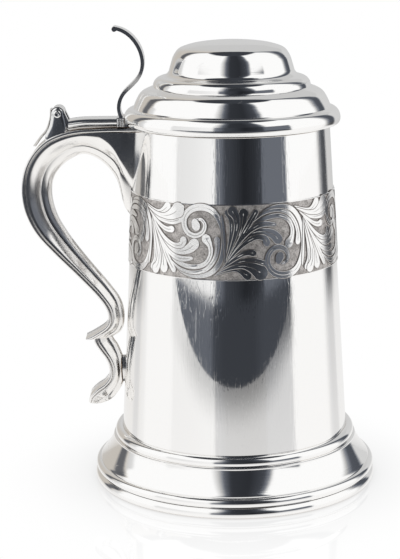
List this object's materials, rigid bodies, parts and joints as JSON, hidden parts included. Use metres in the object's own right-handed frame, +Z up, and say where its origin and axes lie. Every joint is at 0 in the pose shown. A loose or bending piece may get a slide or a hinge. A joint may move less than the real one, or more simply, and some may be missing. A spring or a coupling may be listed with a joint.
{
  "type": "tankard",
  "caption": "Tapering silver tankard with a stepped hinged lid, S-shaped thumbpiece, hollow double-scroll handle and engraved leaf girdle.",
  "frame": {"origin": "centre of the foot, in the plane the tankard stands on, on the drum's axis", "axes": "+Z up along the drum's axis, handle towards -X, lid hinge axis along Y"},
  "size_m": [0.1542, 0.1256, 0.2004],
  "materials": {
    "silver_polished": "bright polished silver with fine wear scratches",
    "silver_engraved": "engraved and matted silver, darkened in the recesses",
    "silver_handle": "polished silver with warm tarnish in the joints",
    "silver_hinge": "polished silver, slightly worn and tarnished",
    "silver_inside": "satin silver inside the cup and lid"
  },
  "bodies": {
    "vessel": {"drum": "silver_polished", "base_disc": "silver_inside", "engraved_band": "silver_engraved", "foot_collar": "silver_polished", "foot_skirt": "silver_polished", "foot_rim_moulding": "silver_polished", "foot_base_wire": "silver_polished", "handle_shell": "silver_handle", "handle_back_strap": "silver_handle", "lower_scroll_shell": "silver_handle", "lower_scroll_strap": "silver_handle", "lower_handle_pad": "silver_handle", "hinge_saddle": "silver_hinge", "hinge_centre_knuckle": "silver_hinge", "hinge_cheek_near": "silver_hinge", "hinge_cheek_far": "silver_hinge", "hinge_pin": "silver_hinge", "hinge_drop_plate": "silver_hinge"},
    "lid": {"lid_cover": "silver_polished", "lid_brim_moulding": "silver_polished", "lid_bezel": "silver_inside", "lid_lever": "silver_hinge", "lever_block": "silver_hinge", "lid_knuckle_near": "silver_hinge", "lid_knuckle_far": "silver_hinge", "thumbpiece": "silver_hinge"}
  },
  "joints": [
    {"name": "lid_hinge", "type": "hinge", "parent": "vessel", "child": "lid", "pos_m": [-0.075, 0, 0.1637], "axis": [0, -1, 0], "range_deg": [0, 100]}
  ]
}
